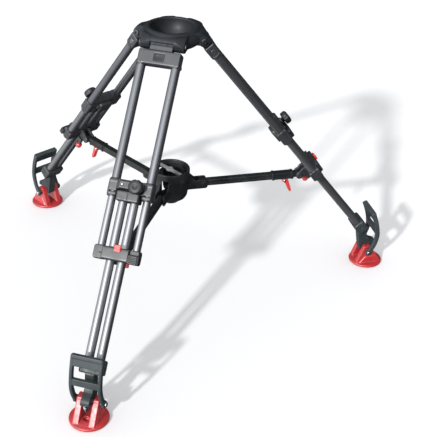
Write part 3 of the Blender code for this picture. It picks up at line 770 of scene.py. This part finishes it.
def lock_tip():
    """Red tip of the spreader's lock screw, under the lug."""
    lock_x, lock_z = to_leg(LOCK_R, LOCK_Z)
    body = spun(smooth_line([(0, -7.4), (4.6, -6.9), (7.2, -4.4), (8.0, 0), (7.4, 4.2), (4.8, 6.8),
                             (3.2, 7.4), (0, 7.6)], 4), 48)
    flutes = []
    for i in range(8):
        angle = math.radians(45 * i)
        flutes.append(rod(1.6, -10, 10, 16, "Z", (9.0 * math.cos(angle), 9.0 * math.sin(angle), 0)))
    body = cast(cut(body, *flutes), voxel=0.4, passes=2, keep=0.5)
    return finished(moved(body, (lock_x, 15, lock_z)), "red_plastic", sharp=60)


def lock_stem():
    lock_x, lock_z = to_leg(LOCK_R, LOCK_Z)
    body = union(rod(3.4, 4, 16, 32, "Z", (lock_x, 15, lock_z), edge=0.4),
                 block((lock_x - 1, lock_x + 14), (9.5, 18.5), (lock_z + 10, lock_z + 22), 1.5))
    return moulding(body, "casting", voxel=0.5, passes=1, keep=0.5, sharp=50)


# ------------------------------------------------------------------ radial frame pieces
def foot_spike():
    profile = [(0, 28.5), (0.5, 28.7), (0.9, 29.6), (4.4, 39.4), (5.4, 41.4), (5.4, 43), (4.6, 43.6),
               (4.6, 44.6), (5.4, 45.2), (5.4, 49.6), (0, 49.6)]
    return finished(spun(profile, 48, "Z", (SPIKE_R, 0, 0)), "steel")


def foot_pad():
    """The round pad, grooved underneath, with two upright fins for the axle."""
    profile = [(0, 1.2), (9, 1.2), (10, 0), (17, 0), (18, 1.4), (20, 1.4), (21, 0), (29, 0), (30, 1.4),
               (32, 1.4), (33, 0), (40.2, 0), (42.2, 0.6), (43, 2.0), (43, 4.6), (42.4, 5.8), (41, 6.6),
               (37.5, 7.2), (30, 9.2), (22, 10.8), (10, 12.0), (0, 12.5)]
    fin = ([(499, 5), (499, 11)] + smooth_line([(500, 14), (507, 33), (513, 50)], 4)
           + arc(519, 51, 5.5, 160, 90, 5) + arc(530, 51, 5.5, 90, 20, 5)
           + smooth_line([(536.5, 50), (548, 32), (560.5, 12.5)], 4) + [(563, 9), (563, 5)])
    rib = [(506, 8), (520, 26), (542, 26), (556, 8)]
    shapes = [spun(profile, 112, "Z", (PAD_R, 0, 0)), slab(fin, 11, 25, 1.2), slab(fin, -25, -11, 1.2)]
    shapes += [slab(rib, *span(side, 25.0, 27.2), 0.6) for side in (-1, 1)]
    cutters = [rod(4.4, -40, 40, 40, "Y", (AXLE_R, 0, AXLE_Z)),
               rod(6.4, -9.0, 9.0, 40, "Z", (SPIKE_R, 0, 14.5))]
    return moulding(cut(fused(0.75, *shapes), *cutters), "red_rubber", voxel=0.85, passes=2, keep=0.35)


def blade(points, half_out, half_in, y_low, y_high, radius):
    """A strip that follows an (x, z) line, with a thickness on each side of it."""
    outer, inner = [], []
    for i, (x, z) in enumerate(points):
        x_before, z_before = points[max(i - 1, 0)]
        x_after, z_after = points[min(i + 1, len(points) - 1)]
        length = math.hypot(x_after - x_before, z_after - z_before)
        normal_x, normal_z = (z_after - z_before) / length, -(x_after - x_before) / length
        outer.append((x + normal_x * half_out, z + normal_z * half_out))
        inner.append((x - normal_x * half_in, z - normal_z * half_in))
    return slab(outer + inner[::-1], y_low, y_high, radius, 3)


def foot_strap():
    """Two curved rails up from the foot axle, joined by two crossbars."""
    spine = smooth_line([(AXLE_R, AXLE_Z), (534, 59), (540, 76), (542.5, 93), (540.5, 110.5),
                         (535, 133.5), (524.5, 161)], 6)
    axle, near, far = (AXLE_R, 0, AXLE_Z), 28.2, 35.5
    body = fused(
        0.7,
        blade(spine[1:], 6, 6, near, far, 1.6),
        blade(spine[1:], 6, 6, -far, -near, 1.6),
        blade([point for point in spine if 94 <= point[1] <= 113], 5.2, 4.6, -30, 30, 1.2),
        blade([point for point in spine if point[1] >= 135], 5.4, 4.6, -30, 30, 1.6),
        blade([point for point in spine if point[1] >= 152], 6.8, 5.8, -34.5, 34.5, 2.0),
        rod(8.5, near, far, 48, "Y", axle, edge=1.0),
        rod(8.5, -far, -near, 48, "Y", axle, edge=1.0),
    )
    body = cut(body, rod(4.4, -40, 40, 40, "Y", axle))
    return moulding(body, "strap", voxel=0.8, passes=3, keep=0.42)


def spreader_arm():
    """A grooved square bar in a collared sleeve, with a round eye at its outer end."""
    eye = (STRUT_R, 0, STRUT_Z)
    bar = cut(block((68.5, 257), (-8, 8), (274, 290), 1.6),
              *[block((84, 262), span(side, 7.1, 12), (279.2, 284.8), 0.5, 2) for side in (1, -1)])
    body = fused(0.7, bar,
                 block((254, 307), (-9.2, 9.2), (272.8, 291.2), 2.2, 4),
                 block((252.6, 258.5), (-10.0, 10.0), (272.0, 292.0), 1.6),
                 block((300, 307.6), (-9.8, 9.8), (272.2, 291.8), 1.6),
                 block((304, STRUT_R), (-6.6, 6.6), (275, 289), 1.0, 2),
                 rod(7.5, -6.6, 6.6, 48, "Y", eye))
    body = cut(body, rod(4.3, -20, 20, 40, "Y", eye),
               *[block((262, 296), span(side, 8.6, 12), (277.5, 286.5), 0.8, 2) for side in (1, -1)])
    return moulding(body, "dark_plastic", voxel=0.8, passes=3, keep=0.4)


def lock_lever():
    outline = smooth_line([(287, 272.3), (293.6, 272.2), (297, 264), (301.5, 251), (304.6, 241),
                           (305, 236.6), (301.5, 235), (298, 239), (289, 258), (281.8, 263.5)], 4)
    outline += arc(LEVER_PIN[0], LEVER_PIN[2], 5.8, 180, 100, 7)
    grooves = [rod(0.7, -4, 4, 16, "Y", (303.9 - 1.25 * i, 0, 243.5 + 3.2 * i)) for i in range(4)]
    body = cut(slab(outline, -5.4, 5.4, 1.6, 3), *grooves)
    return moulding(body, "red_plastic", voxel=0.4, passes=2, keep=0.5)


def lever_pin():
    return finished(spun(mirrored([(3.2, 6.4), (2.6, 7.0), (0, 7.0)]), 32, "Y", LEVER_PIN), "steel")


# ------------------------------------------------------------------ assembly
def add(name, mesh, matrix, body, slot, *nodes):
    """Places a mesh, rides it on a body and hides the CAD nodes it replaces."""
    obj = bpy.data.objects.new(name, mesh)
    bpy.context.scene.collection.objects.link(obj)
    obj.matrix_world = matrix
    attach(obj, body)
    if nodes:
        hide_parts(*nodes)
    return obj


add("crown_bowl", crown(), CENTRE, "crown", "crown", "crown_casting")
add("spreader_hub_cup", hub(), CENTRE, "hub", "dark_plastic", "spreader_hub")
add("hub_carry_bar", hub_bar(), CENTRE, "hub", "dark_plastic")
add("hub_clamp_screw", hub_screw(), CENTRE, "hub", "dark_plastic", "hub_screw")


def outer_tube(y):
    return tube(10, 8.95, -337, -28.5, y, "upper_tube")


def slide_tube(y):
    return tube(8.6, 7.4, -476, -245, y, "lower_tube")


def foot_tube(y):
    return tube(9.5, 8.1, -703, -333.4, y, "lower_tube")


# name: (body it rides on, slot, mesh, CAD nodes it replaces)
LEG_PIECES = {
    "pin": ("crown", "steel", hinge_pin(), ["hinge_pin"]),
    "head_block": ("leg", "casting", top_block(), ["top_block"]),
    "hinge_barrel": ("leg", "dark_plastic", hinge_barrel(), []),
    "head_block_inset": ("leg", "dark_plastic", block_inset(), []),
    "outer_tube_a": ("leg", "upper_tube", outer_tube(-WIDE_Y), ["upper_tube_a"]),
    "outer_tube_b": ("leg", "upper_tube", outer_tube(WIDE_Y), ["upper_tube_b"]),
    "clamp_bracket": ("leg", "casting", middle_bracket(), ["middle_bracket"]),
    "clamp_bracket_screw": ("leg", "steel", bracket_screw(), []),
    "stop_rubber": ("leg", "dark_plastic", stop_rubber(), []),
    "lobed_knob": ("knob", "dark_plastic", clamp_knob(), ["clamp_knob"]),
    "slide_tube_a": ("leg", "lower_tube", slide_tube(-WIDE_Y), ["mid_tube_a"]),
    "slide_tube_b": ("leg", "lower_tube", slide_tube(WIDE_Y), ["mid_tube_b"]),
    "spreader_bracket": ("leg", "casting", lower_bracket(), ["lower_bracket"]),
    "clamp_cover": ("leg", "dark_plastic", clamp_cover(), []),
    "red_release": ("button", "red_plastic", release_button(), ["release_button"]),
    "spreader_lock_stem": ("leg", "casting", lock_stem(), []),
    "spreader_lock_tip": ("leg", "red_plastic", lock_tip(), []),
    "tube_yoke": ("lower_leg", "casting", yoke(), ["lower_yoke"]),
    "foot_tube_a": ("lower_leg", "lower_tube", foot_tube(-NARROW_Y), ["lower_tube_a"]),
    "foot_tube_b": ("lower_leg", "lower_tube", foot_tube(NARROW_Y), ["lower_tube_b"]),
    "foot_casting": ("lower_leg", "dark_plastic", foot_bracket(), ["foot_bracket"]),
    "foot_axle": ("lower_leg", "steel", foot_axle(), []),
}
RADIAL_PIECES = {
    "steel_spike": ("lower_leg", "steel", foot_spike(), ["foot_spike"]),
    "red_foot": ("pad", "red_rubber", foot_pad(), ["foot_pad"]),
    "foot_bail": ("strap_body", "strap", foot_strap(), ["foot_strap"]),
    "spreader_strut": ("arm", "dark_plastic", spreader_arm(), ["spreader_arm"]),
    "red_lever": ("lever", "red_plastic", lock_lever(), ["lock_lever"]),
    "red_lever_pin": ("arm", "steel", lever_pin(), []),
}
for leg in LEGS:
    for pieces, frames in ((LEG_PIECES, LEG_FRAMES), (RADIAL_PIECES, RADIAL_FRAMES)):
        for name, (body, slot, mesh, nodes) in pieces.items():
            if leg == "front" and name.startswith("spreader_lock"):
                continue  # only the two rear legs carry the spreader lock
            owner = "crown" if body == "crown" else f"{leg}_{body}"
            piece = add(f"{leg}_{name}", mesh, frames[leg], owner, slot,
                        *[f"{leg}_{node}" for node in nodes])
            if slot.startswith("red"):
                piece.visible_glossy = False  # keeps red out of reflections


# ------------------------------------------------------------------ floor, light, camera
def studio_floor():
    grid = bmesh.new()
    bmesh.ops.create_grid(grid, x_segments=8, y_segments=8, size=14.0)
    mesh = bpy.data.meshes.new("studio_floor")
    grid.to_mesh(mesh)
    grid.free()
    floor = bpy.data.objects.new("studio_floor", mesh)
    bpy.context.scene.collection.objects.link(floor)
    floor.location = (0, 0, -0.0004)  # just clear of the pads
    look = Look("pale_floor")
    look.surface({
        "Base Color": (0.86, 0.86, 0.87, 1),
        "Roughness": 0.9,
        "Specular IOR Level": 0.0,
    })
    mesh.materials.append(look.material)
    floor.visible_glossy = False


def studio_world():
    """Even light for the scene, but soft panels in what shiny surfaces reflect."""
    world = bpy.data.worlds.new("studio")
    bpy.context.scene.world = world
    studio = Graph(world)
    direction = studio.node("ShaderNodeTexCoord").outputs["Generated"]

    def panel(towards, start, end, level):
        """Rises to a level as the view's cosine to a direction goes from start to end."""
        dot = studio.node("ShaderNodeVectorMath", {1: Vector(towards).normalized(), 0: direction},
                          operation="DOT_PRODUCT")
        return studio.node("ShaderNodeMapRange", {
            "From Min": start, "From Max": end, "To Max": level, "Value": dot.outputs["Value"],
        }, interpolation_type="SMOOTHSTEP").outputs["Result"]

    upper = panel((-0.30, -0.62, 0.66), start=0.10, end=0.97, level=2.0)
    lower = panel((-0.85, -0.25, -0.45), start=0.50, end=0.95, level=1.0)
    dim_level, even_level = 0.035, 0.84  # reflected outside the panels; seen by all else
    reflected = studio.math("ADD", studio.math("ADD", upper, lower), dim_level)
    glossy = studio.node("ShaderNodeLightPath").outputs["Is Glossy Ray"]
    strength = studio.node("ShaderNodeMix", {2: even_level, 0: glossy, 3: reflected},
                           data_type="FLOAT").outputs[0]
    background = studio.tree.nodes["Background"]
    studio.feed(background.inputs["Color"], (0.97, 0.985, 1.0, 1))
    studio.feed(background.inputs["Strength"], strength)


def key_light():
    sun = bpy.data.lights.new("key", "SUN")
    sun.energy = 2.9
    sun.angle = math.radians(3.2)
    sun.color = (1.0, 0.985, 0.97)
    key = bpy.data.objects.new("key", sun)
    bpy.context.scene.collection.objects.link(key)
    shines_along = Vector((0.224, 0.865, -0.448))
    key.rotation_euler = shines_along.to_track_quat("-Z", "Y").to_euler()


def view_camera():
    """Looks down on the tripod from the front, a little to its +x side."""
    place = (0.6393, -1.8111, 1.4359)
    yaw, pitch, roll = math.radians(15.067), math.radians(31.218), math.radians(2.249)
    forward = Vector((-math.sin(yaw) * math.cos(pitch), math.cos(yaw) * math.cos(pitch),
                      -math.sin(pitch)))
    across = Vector((math.cos(yaw), math.sin(yaw), 0))
    above = across.cross(forward)
    right = across * math.cos(roll) + above * math.sin(roll)
    up = above * math.cos(roll) - across * math.sin(roll)
    lens = bpy.data.cameras.new("camera")
    lens.sensor_width, lens.lens = 36.0, 80.36
    lens.shift_x, lens.shift_y = 0.00549, -0.00471
    lens.clip_start, lens.clip_end = 0.05, 60
    camera = bpy.data.objects.new("camera", lens)
    bpy.context.scene.collection.objects.link(camera)
    rows = [(right[i], up[i], -forward[i], place[i]) for i in range(3)]
    camera.matrix_world = Matrix((*rows, (0, 0, 0, 1)))
    bpy.context.scene.camera = camera


studio_floor()
studio_world()
key_light()
view_camera()
bpy.context.scene.view_settings.view_transform = "Standard"
bpy.context.scene.view_settings.look = "None"
